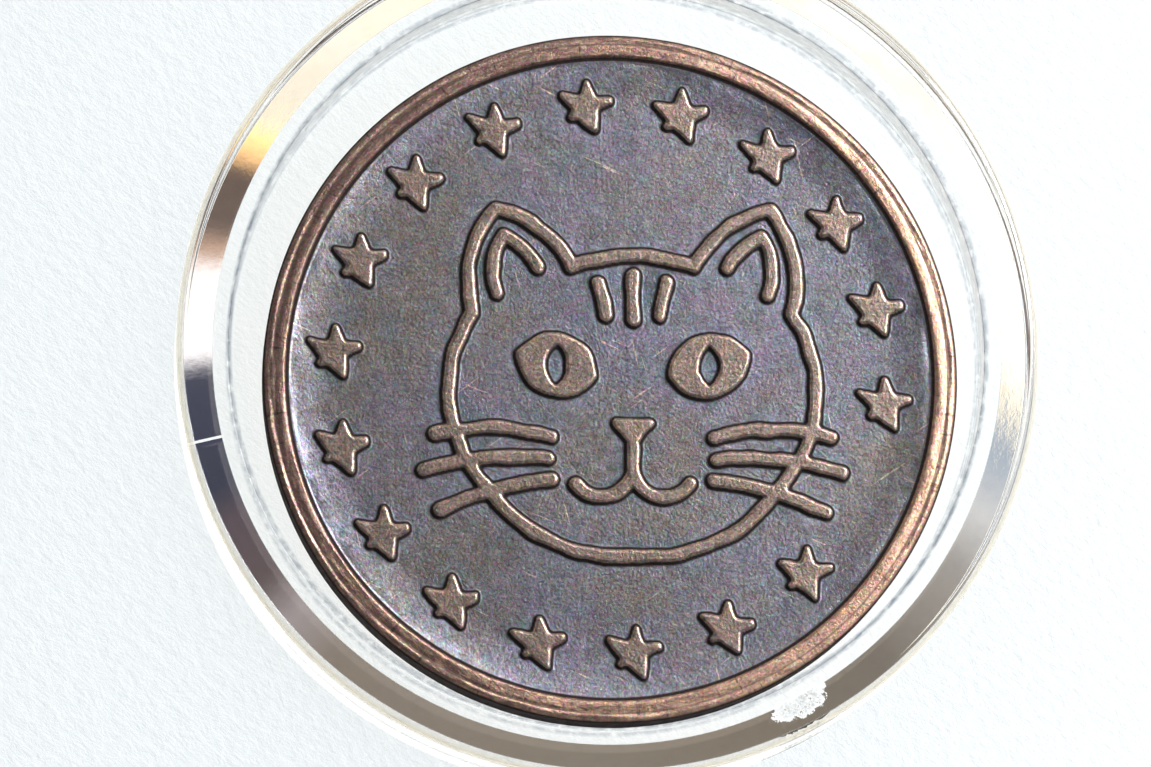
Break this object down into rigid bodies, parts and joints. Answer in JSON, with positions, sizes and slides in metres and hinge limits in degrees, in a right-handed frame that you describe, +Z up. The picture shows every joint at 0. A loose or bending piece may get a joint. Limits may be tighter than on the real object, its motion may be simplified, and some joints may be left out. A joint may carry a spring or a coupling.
{
  "type": "encapsulated struck token",
  "caption": "Round struck copper token with raised rims, a border of raised stars and a raised cat's head, lying loose in a clear round two-part capsule whose lid lifts off.",
  "frame": {"origin": "centre of the closed capsule's underside", "axes": "+Z up out of the lid's window, which the token's obverse faces; +Y towards the top of the token's design"},
  "size_m": [0.031, 0.031, 0.0047],
  "materials": {
    "token_copper": "darkened copper, satin field with worn brighter relief",
    "clear_plastic": "polished clear acrylic"
  },
  "bodies": {
    "base": {"capsule_base": "clear_plastic"},
    "lid": {"capsule_lid": "clear_plastic"},
    "token": {"token": "token_copper"}
  },
  "joints": [
    {"name": "lid_lift", "type": "slide", "parent": "base", "child": "lid", "axis": [0, 0, 1], "range_m": [0, 0.024]},
    {"name": "token_lift", "type": "slide", "parent": "base", "child": "token", "axis": [0, 0, 1], "range_m": [0, 0.012]}
  ],
  "couplings": [
    {"joint": "token_lift", "follows": "lid_lift", "ratio": 0.5}
  ]
}
